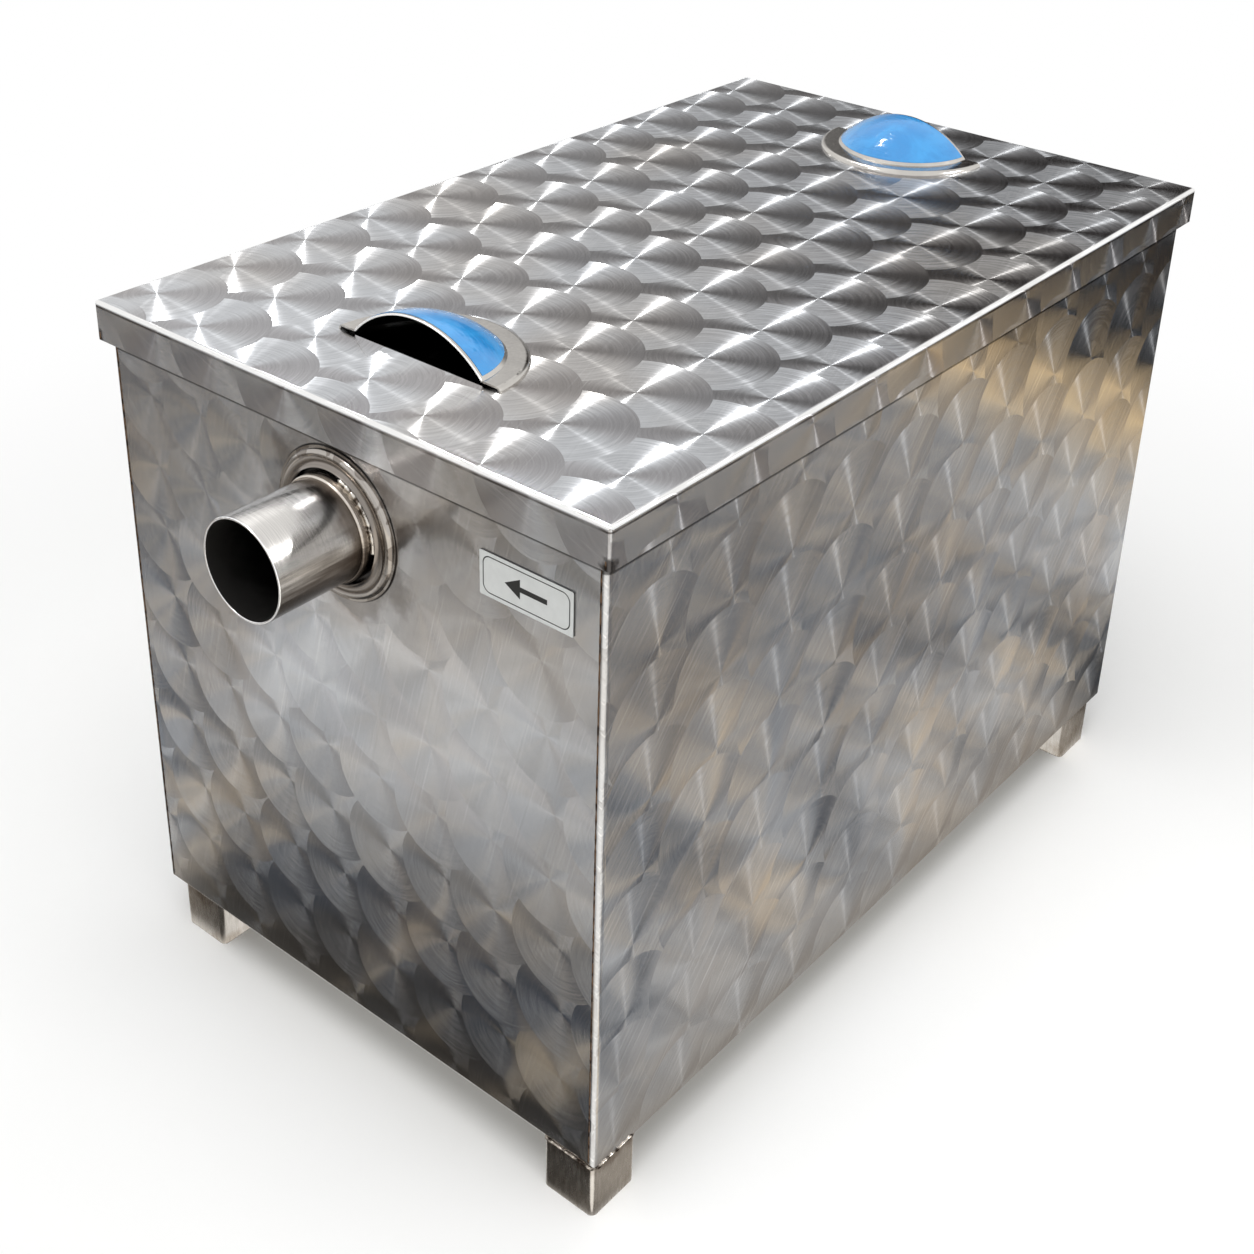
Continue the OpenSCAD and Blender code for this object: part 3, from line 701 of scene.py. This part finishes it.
def polishedTube(t):
    material, add = newMaterial(t["name"])
    centred = add("VectorMath.SUBTRACT", {0: placeInMm(add), 1: (0, 0, pipeHeight / mm)})
    x, y, z = add("SeparateXYZ", {0: centred}).node.outputs
    around = add("Math.ARCTAN2", {0: z, 1: y})
    fromAxis = add("CombineXYZ", {1: y, 2: z})
    fromAxis = add("VectorMath.LENGTH", {0: fromAxis}, out=1)
    rings = add("Math.DIVIDE", {0: x, 1: t["polishPitch"]})
    ringPlace = add("CombineXYZ", {0: rings, 1: around})
    polish = add("TexNoise", {"Vector": ringPlace, "Scale": 1.0, "Detail": 3.0})
    outward = add("Math.ABSOLUTE", {0: x})
    fromMouth = add("Math.SUBTRACT", {0: abs(pipeLow.x) / mm, 1: outward})
    outward = add("Math.SUBTRACT", {0: outward, 1: wallEnd / mm})
    cloud = add("TexNoise", {"Vector": centred, "Scale": 1 / t["cloud"], "Detail": 3.0})
    cloud = add("MapRange", {0: cloud, **noiseSpan, toSpan: (-t["tintStray"], t["tintStray"])})
    outward = add("Math.ADD", {0: outward, 1: cloud})
    tint = add("MapRange", {0: outward, fromSpan: t["tintReach"], toSpan: (t["tintDepth"], 0)}, **smoothStep)
    # the painted shade's edge runs in streaks along the tube
    run = add("Math.DIVIDE", {0: x, 1: t["stainRun"]})
    turns = add("Math.MULTIPLY", {0: around, 1: t["stainTurn"]})
    streak = add("CombineXYZ", {0: run, 1: turns})
    streak = add("TexNoise", {"Vector": streak, "Scale": 1.0, "Detail": 3.0})
    streak = add("MapRange", {0: streak, **noiseSpan, toSpan: (-t["stainStray"], t["stainStray"])})
    lower = add("Math.ADD", {0: z, 1: streak})
    under = add("MapRange", {0: lower, fromSpan: t["stainEdge"], 4: t["underside"]}, **smoothStep)
    layers = [(tint, t["tint"]), (under, t["stain"])]
    if t["face"]:
        # painted shade: darker inside the rim; and a dark line at the rim's foot
        face = add("MapRange", {0: fromAxis, fromSpan: t["faceEdge"], toSpan: (t["faceDepth"], 0)})
        foot = add("MapRange", {0: outward, fromSpan: t["footEdge"], 4: t["footDepth"]})
        layers.append((add("Math.MAXIMUM", {0: face, 1: foot}), t["face"]))
    # painted highlight: the cut edge at the mouth is painted white
    layers.append((add("MapRange", {0: fromMouth, fromSpan: t["lipEdge"]}), white))
    colour = toLinear(t["steel"])
    for share, over in layers:
        colour = add("Mix", {0: share, 6: colour, 7: toLinear(over)}, **asColour)
    bright = add("MapRange", {0: polish, **noiseSpan, toSpan: t["shine"]})
    colour = add("Mix", {0: 1.0, 6: colour, 7: bright}, **asColour, blend_type="MULTIPLY")
    # painted shade: the bore is painted near black, turning grey towards the mouth
    inside = add("Math.LESS_THAN", {0: fromAxis, 1: t["boreRadius"]})
    lit = add("MapRange", {0: outward, fromSpan: t["mouthReach"]}, **smoothStep)
    boreShade = add("Mix", {0: lit, 6: toLinear(t["inside"]), 7: toLinear(t["mouth"])}, **asColour)
    colour = add("Mix", {0: inside, 6: colour, 7: boreShade}, **asColour)
    rough = add("MapRange", {0: polish, **noiseSpan, toSpan: t["roughness"]})
    rough = add("Mix", {0: inside, 2: rough, 3: t["insideRoughness"]})
    bump = add("Bump", {strengthAndDepth: t["bump"], "Height": polish})
    shader = add("BsdfPrincipled", {"Base Color": colour, "Metallic": 1, "Roughness": rough, "Normal": bump})
    add("OutputMaterial", {"Surface": shader})
    return material


dress(polishedTube(tube), "outlet_pipe", "inlet_pipe")
dress(polishedTube(collar), "outlet_sleeve", "inlet_sleeve")
dress(polishedTube(rosette), "outlet_rosette", "inlet_rosette")

# Blue polyethylene film: glossy, thin, with small wrinkles and a few air bubbles
film = {
    "blue": "#3A9ADC",
    "deep": "#2277BC",
    "deepSpan": (0.35, 0.65),
    "deepShare": 0.5,
    "wrinkle": 22.0,                # mm
    "bubble": 9.0,                  # mm apart
    "bubbleEdge": 0.3,              # share of that
    "bubbleHeight": 0.25,           # against the wrinkles
    "crinkle": (5.0, 30.0, 9.0),    # mm
    "crinkleHeight": 0.35,
    "bump": (0.8, 1.1 * mm),
    "coat": 0.6,
    "coatRoughness": 0.04,
    "roughness": (0.03, 0.15),
}


def polyethyleneFilm(f):
    material, add = newMaterial("bluePolyethyleneFilm")
    place = placeInMm(add)
    wrinkle = add("TexNoise", {"Vector": place, "Scale": 1 / f["wrinkle"], "Detail": 3.0, "Distortion": 0.6})
    bubble = add("TexVoronoi", {"Vector": place, "Scale": 1 / f["bubble"]})
    bubble = add("MapRange", {0: bubble, fromSpan: (0, f["bubbleEdge"]), toSpan: (1, 0)}, **smoothStep)
    crinkle = add("VectorMath.DIVIDE", {0: place, 1: f["crinkle"]})
    crinkle = add("TexNoise", {"Vector": crinkle, "Scale": 1.0, "Detail": 2.0, "Distortion": 1.2})
    height = add("Math.MULTIPLY_ADD", {0: bubble, 1: f["bubbleHeight"], 2: wrinkle})
    height = add("Math.MULTIPLY_ADD", {0: crinkle, 1: f["crinkleHeight"], 2: height})
    deep = add("MapRange", {0: wrinkle, fromSpan: f["deepSpan"], 4: f["deepShare"]}, **smoothStep)
    colour = add("Mix", {0: deep, 6: toLinear(f["blue"]), 7: toLinear(f["deep"])}, **asColour)
    rough = add("MapRange", {0: wrinkle, **noiseSpan, toSpan: f["roughness"]})
    bump = add("Bump", {strengthAndDepth: f["bump"], "Height": height})
    shader = add("BsdfPrincipled", {
        "Base Color": colour, "Roughness": rough, "IOR": 1.51, "Normal": bump,
        "Coat Weight": f["coat"], "Coat Roughness": f["coatRoughness"],
    })
    add("OutputMaterial", {"Surface": shader})
    return material


dress(polyethyleneFilm(film), "outlet_handle_film", "inlet_handle_film")
print("tube and film dressed")

# Two-ply engraved plate: white face, black core that shows at the edges and in the engraved line
plate = {
    "face": "#DCDEDC",
    "core": "#171717",
    "inset": 2.6,           # mm from the plate's edge to the line
    "line": 0.7,            # mm
    "corner": 5.0,          # mm, radius of the line's corners
    "arrowReach": 15.0,     # mm, half the arrow's length
    "arrowShaft": 1.6,      # mm, half its thickness
    "arrowHead": 11.0,      # mm
    "headSlope": 0.55,      # half the head's width for each mm behind its tip
    "facing": -0.6,         # where the normal's X lies above this, the core shows
    "dust": 6.0,            # mm
    "shine": (0.93, 1.0),
    "bump": (0.4, 0.15 * mm),
    "roughness": (0.29, 0.42),
}


def engravedPlate(p):
    material, add = newMaterial("engravedTwoPlyPlate")
    low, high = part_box("label_plate")
    middle = (low + high) / 2
    place = add("VectorMath.SUBTRACT", {0: placeInMm(add), 1: middle / mm})
    _, y, z = add("SeparateXYZ", {0: place}).node.outputs
    # distance to a rounded rectangle, whose zero is the engraved line
    halfY = (high.y - low.y) / 2 / mm - p["inset"] - p["corner"]
    halfZ = (high.z - low.z) / 2 / mm - p["inset"] - p["corner"]
    corner = add("VectorMath.ABSOLUTE", {0: place})
    corner = add("VectorMath.SUBTRACT", {0: corner, 1: (0, halfY, halfZ)})
    corner = add("VectorMath.MULTIPLY", {0: corner, 1: (0, 1, 1)})
    corner = add("VectorMath.MAXIMUM", {0: corner, 1: (0, 0, 0)})
    edge = add("VectorMath.LENGTH", {0: corner}, out=1)
    edge = add("Math.SUBTRACT", {0: edge, 1: p["corner"]})
    edge = add("Math.ABSOLUTE", {0: edge})
    line = add("Math.LESS_THAN", {0: edge, 1: p["line"] / 2})
    # plain flow arrow towards the pipe
    thick = add("Math.ABSOLUTE", {0: z})
    toTip = add("Math.SUBTRACT", {0: p["arrowReach"], 1: y})
    slope = add("Math.MULTIPLY", {0: toTip, 1: p["headSlope"]})
    inHead = add("Math.LESS_THAN", {0: thick, 1: slope})
    short = add("Math.LESS_THAN", {0: toTip, 1: p["arrowHead"]})
    head = add("Math.MULTIPLY", {0: inHead, 1: short})
    slim = add("Math.LESS_THAN", {0: thick, 1: p["arrowShaft"]})
    behind = add("Math.GREATER_THAN", {0: toTip, 1: p["arrowHead"]})
    within = add("Math.LESS_THAN", {0: toTip, 1: 2 * p["arrowReach"]})
    shaft = add("Math.MULTIPLY", {0: slim, 1: behind})
    shaft = add("Math.MULTIPLY", {0: shaft, 1: within})
    front = add("SeparateXYZ", {0: add("TexCoord", out="Normal")})
    ink = add("Math.GREATER_THAN", {0: front, 1: p["facing"]})
    for mark in (line, head, shaft):
        ink = add("Math.MAXIMUM", {0: ink, 1: mark})
    dust = add("TexNoise", {"Vector": place, "Scale": 1 / p["dust"], "Detail": 4.0})
    bright = add("MapRange", {0: dust, **noiseSpan, toSpan: p["shine"]})
    face = add("Mix", {0: 1.0, 6: toLinear(p["face"]), 7: bright}, **asColour, blend_type="MULTIPLY")
    colour = add("Mix", {0: ink, 6: face, 7: toLinear(p["core"])}, **asColour)
    rough = add("MapRange", {0: dust, **noiseSpan, toSpan: p["roughness"]})
    sunk = add("Math.SUBTRACT", {0: 1.0, 1: ink})
    bump = add("Bump", {strengthAndDepth: p["bump"], "Height": sunk})
    shader = add("BsdfPrincipled", {"Base Color": colour, "Roughness": rough, "IOR": 1.49, "Normal": bump})
    add("OutputMaterial", {"Surface": shader})
    return material


dress(engravedPlate(plate), "label_plate")

# Mill-finish stainless: dull rolled sheet inside the tank, and the feet's square tube
millSheet = {
    "name": "millFinishStainless",
    "steel": "#B4B4B1",
    "stain": "#8F8A82",
    "stainSize": 24.0,          # mm
    "stainSpan": (0.42, 0.72),
    "stainDepth": 0.8,
    "roll": (40.0, 0.9, 40.0),  # mm, rolling lines along X
    "shine": (0.84, 1.06),
    "bump": (0.2, 0.03 * mm),
    "heat": None,
    "roughness": (0.30, 0.44),
}
footTube = dict(millSheet, name="millSquareTube", steel="#CFCBC6", stain="#A89E92", roll=(2.5, 2.5, 12.0),
                heat="#6B5646", heatDepth=0.5, heatReach=(12.0, 1.0), heatStray=6.0, roughness=(0.19, 0.33))


def millSteel(m):
    material, add = newMaterial(m["name"])
    place = placeInMm(add)
    drawn = add("VectorMath.DIVIDE", {0: place, 1: m["roll"]})
    lines = add("TexNoise", {"Vector": drawn, "Scale": 1.0, "Detail": 3.0})
    cloud = add("TexNoise", {"Vector": place, "Scale": 1 / m["stainSize"], "Detail": 4.0, "Roughness": 0.6})
    stain = add("MapRange", {0: cloud, fromSpan: m["stainSpan"], 4: m["stainDepth"]}, **smoothStep)
    colour = add("Mix", {0: stain, 6: toLinear(m["steel"]), 7: toLinear(m["stain"])}, **asColour)
    if m["heat"]:
        # brown heat tint below the weld at the tube's top
        height = add("SeparateXYZ", {0: place}, out=2)
        wave = add("MapRange", {0: cloud, **noiseSpan, toSpan: (-m["heatStray"], m["heatStray"])})
        height = add("Math.ADD", {0: height, 1: wave})
        reach = [footTop / mm - below for below in m["heatReach"]]
        heat = add("MapRange", {0: height, fromSpan: reach, 4: m["heatDepth"]}, **smoothStep)
        colour = add("Mix", {0: heat, 6: colour, 7: toLinear(m["heat"])}, **asColour)
    bright = add("MapRange", {0: lines, **noiseSpan, toSpan: m["shine"]})
    colour = add("Mix", {0: 1.0, 6: colour, 7: bright}, **asColour, blend_type="MULTIPLY")
    rough = add("MapRange", {0: lines, **noiseSpan, toSpan: m["roughness"]})
    bump = add("Bump", {strengthAndDepth: m["bump"], "Height": lines})
    shader = add("BsdfPrincipled", {"Base Color": colour, "Metallic": 1, "Roughness": rough, "Normal": bump})
    add("OutputMaterial", {"Surface": shader})
    return material


feet = [name for name in nodes if name.startswith("foot_")]
dress(millSteel(footTube), *feet)
inside = ("floor_panel", "seat_strip", "dip_", "basket_", "inlet_baffle", "outlet_baffle")
dress(millSteel(millSheet), *[name for name in nodes if name.startswith(inside)])

# Black EPDM gasket: matt, a little dusty, with moulding pores
gasket = {
    "rubber": "#141414",
    "dust": "#2B2A29",
    "cloud": 30.0,      # mm, size of the dusty places
    "dustSpan": (0.4, 0.75),
    "pore": 1.6,        # mm
    "bump": (0.3, 0.1 * mm),
    "roughness": (0.65, 0.85),
}


def epdmRubber(g):
    material, add = newMaterial("blackEpdmRubber")
    place = placeInMm(add)
    pores = add("TexNoise", {"Vector": place, "Scale": 1 / g["pore"], "Detail": 2.0})
    cloud = add("TexNoise", {"Vector": place, "Scale": 1 / g["cloud"], "Detail": 3.0})
    dust = add("MapRange", {0: cloud, fromSpan: g["dustSpan"]}, **smoothStep)
    colour = add("Mix", {0: dust, 6: toLinear(g["rubber"]), 7: toLinear(g["dust"])}, **asColour)
    rough = add("MapRange", {0: pores, **noiseSpan, toSpan: g["roughness"]})
    bump = add("Bump", {strengthAndDepth: g["bump"], "Height": pores})
    shader = add("BsdfPrincipled", {"Base Color": colour, "Roughness": rough, "Normal": bump})
    add("OutputMaterial", {"Surface": shader})
    return material


dress(epdmRubber(gasket), "lid_gasket")
print("plate, feet, inner sheet and gasket dressed")

# Weld beads: run-in metal with ripples, silver on the crests and burnt brown between them
bead = {
    "name": "stainlessWeldBead",
    "metal": "#A79F95",
    "burnt": "#2B231D",
    "cloud": 5.0,               # mm
    "burntSpan": (0.44, 0.62),
    "bump": (0.4, 0.1 * mm),
    "roughness": (0.3, 0.55),   # of clean metal, and of burnt
    "sides": 10,
    "ripple": 1.3,              # radians for each step along the bead
    "stray": 0.9,               # random swelling, against the ripples
}


def weldMetal(b):
    material, add = newMaterial(b["name"])
    place = placeInMm(add)
    cloud = add("TexNoise", {"Vector": place, "Scale": 1 / b["cloud"], "Detail": 4.0, "Roughness": 0.65})
    burnt = add("MapRange", {0: cloud, fromSpan: b["burntSpan"]}, **smoothStep)
    colour = add("Mix", {0: burnt, 6: toLinear(b["metal"]), 7: toLinear(b["burnt"])}, **asColour)
    rough = add("MapRange", {0: burnt, toSpan: b["roughness"]})
    bump = add("Bump", {strengthAndDepth: b["bump"], "Height": cloud})
    shader = add("BsdfPrincipled", {"Base Color": colour, "Metallic": 1, "Roughness": rough, "Normal": bump})
    add("OutputMaterial", {"Surface": shader})
    return material


weldMaterial = weldMetal(bead)
seamMaterial = weldMetal(dict(bead, name="burntSeam", metal="#6A5544"))
brightMaterial = weldMetal(dict(bead, name="brightWeldBead", metal="#D6D1C9", burnt="#4A3E34",
                                roughness=(0.22, 0.47)))


def addBead(name, path, radius, body, closed=False, material=weldMaterial, lump=0.16):
    dice = random.Random(name)
    shape = bmesh.new()
    rings = []
    count = len(path)
    for i, point in enumerate(path):
        ahead = path[(i + 1) % count] if closed else path[min(i + 1, count - 1)]
        behind = path[i - 1] if closed else path[max(i - 1, 0)]
        ripple = math.sin(bead["ripple"] * i) + dice.uniform(-bead["stray"], bead["stray"])
        turn = (ahead - behind).to_track_quat("Z", "Y").to_matrix().to_4x4()
        made = bmesh.ops.create_circle(shape, segments=bead["sides"], radius=radius * (1 + lump * ripple),
                                       matrix=Matrix.Translation(point) @ turn)
        rings.append(list({edge for vert in made["verts"] for edge in vert.link_edges}))
    for i in range(count if closed else count - 1):
        bmesh.ops.bridge_loops(shape, edges=rings[i] + rings[(i + 1) % count])
    if not closed:
        bmesh.ops.holes_fill(shape, edges=rings[0] + rings[-1])
    bmesh.ops.recalc_face_normals(shape, faces=shape.faces)
    piece = newPiece(name, shape, material)
    piece.data.shade_smooth()
    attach(piece, body)


def straightPath(start, end, step):
    count = max(2, round((end - start).length / step))
    return [start.lerp(end, i / count) for i in range(count + 1)]


def roundPath(centre, radius, start, end, step):
    count = round(math.radians(end - start) * radius / step)
    turns = [math.radians(start + (end - start) * i / count) for i in range(count + 1)]
    return [centre + Vector((0, radius * math.cos(a), radius * math.sin(a))) for a in turns]


def squarePath(low, high, corner, height, step):
    # round the outline of a square tube, its corners as arcs
    path = []
    corners = ((high.x, high.y, 0), (low.x, high.y, 90), (low.x, low.y, 180), (high.x, low.y, 270))
    for cx, cy, start in corners:
        inX = cx - math.copysign(corner, cx - (low.x + high.x) / 2)
        inY = cy - math.copysign(corner, cy - (low.y + high.y) / 2)
        for k in range(4):
            a = math.radians(start + 30 * k)
            point = Vector((inX + corner * math.cos(a), inY + corner * math.sin(a), height))
            if path and (point - path[-1]).length > 2 * step:
                path += straightPath(path[-1], point, step)[1:-1]
            path.append(point)
    return path + straightPath(path[-1], path[0], step)[1:-1]


welds = {
    "step": 1.2 * mm,
    "foot": 1.1 * mm,           # bead radius, as are groove, seam and lidCorner
    "footCorner": 4 * mm,
    "groove": 1.25 * mm,
    "grooveOut": 5.0 * mm,      # how far the groove's bead stands off the wall
    "grooveLift": 0.9,          # bead radii from the sleeve to the bead's middle
    "grooveArc": (105, 188),    # degrees, the part of the groove that is welded up
    "grooveLump": 0.22,
    "seam": 0.5 * mm,
    "seamIn": 4.15 * mm,        # from the tank's side to the seam on its end
    "lidCorner": 0.7 * mm,
    "pitIn": (0.3 * mm, 2.9 * mm),  # from the lid's end and its side
    "pitUp": 0.6 * mm,
    "pitRun": 5 * mm,
}


def addWelds(w):
    step = w["step"]
    for name in feet:
        path = squarePath(*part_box(name), w["footCorner"], footTop, step)
        addBead(name.replace("foot", "footWeld"), path, w["foot"], "tank", closed=True)
    low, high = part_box("outlet_sleeve")
    radius = (high.y - low.y) / 2 + w["groove"] * w["grooveLift"]
    for name, sign in (("outletWeld", -1), ("inletWeld", 1)):
        centre = Vector((sign * (wallEnd + w["grooveOut"]), 0, pipeHeight))
        addBead(name, roundPath(centre, radius, *w["grooveArc"], step), w["groove"], "tank",
                material=brightMaterial, lump=w["grooveLump"])
    low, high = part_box("front_side_panel")
    sideY = abs(low.y) - w["seamIn"]
    endIn, sideIn = w["pitIn"]
    for end in (-1, 1):
        for side in (-1, 1):
            corner = ("outlet" if end < 0 else "inlet") + ("Front" if side < 0 else "Rear")
            bottom = Vector((end * wallEnd, side * sideY, low.z + w["seamIn"]))
            top = Vector((end * wallEnd, side * sideY, high.z))
            addBead("cornerSeam." + corner, straightPath(bottom, top, 2 * step), w["seam"], "tank",
                    material=seamMaterial)
            pit = Vector((end * (lidHigh.x - endIn), side * (lidHigh.y - sideIn), lidLow.z + w["pitUp"]))
            path = straightPath(pit, pit + Vector((0, 0, w["pitRun"])), step)
            addBead("lidCornerWeld." + corner, path, w["lidCorner"], "lid",
                    material=seamMaterial)


addWelds(welds)


def addPullEdges(p):
    # the cut edge of each dome, dressed round, with a painted highlight in near-white steel
    reach = math.degrees(math.asin(p["domeRadius"] / sphereRadius))
    steel = pressedSteel("dressedStainlessEdge", dict(p, steel=p["edge"], hollow=p["edge"],
                                                      roughness=p["edgeRoughness"]))
    glow, add = newMaterial("brightArchCard")
    add("OutputMaterial", {"Surface": add("Emission", {"Strength": p["archGlow"]})})
    for name, edge in (("outlet_handle", 0), ("inlet_handle", 1)):
        low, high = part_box(name)
        centre = Vector(((low, high)[edge].x, 0, high.z - sphereRadius))
        path = roundPath(centre, sphereRadius - p["sheet"] / 2, 90 - reach, 90 + reach, p["edgeStep"])
        addBead(name.replace("handle", "pullEdge"), path, p["edgeRadius"], "lid",
                material=steel, lump=0)
        # the lid mirrors a bright card in front of the dark hollow
        shape = bmesh.new()
        outline = [Vector((point.x, point.y, low.z)) for point in (path[-1], path[0])] + path
        shape.faces.new([shape.verts.new(point) for point in outline])
        onlyInReflections(newPiece(name.replace("handle", "archCard"), shape, glow))


addPullEdges(pull)
print("welds laid and pulls edged")
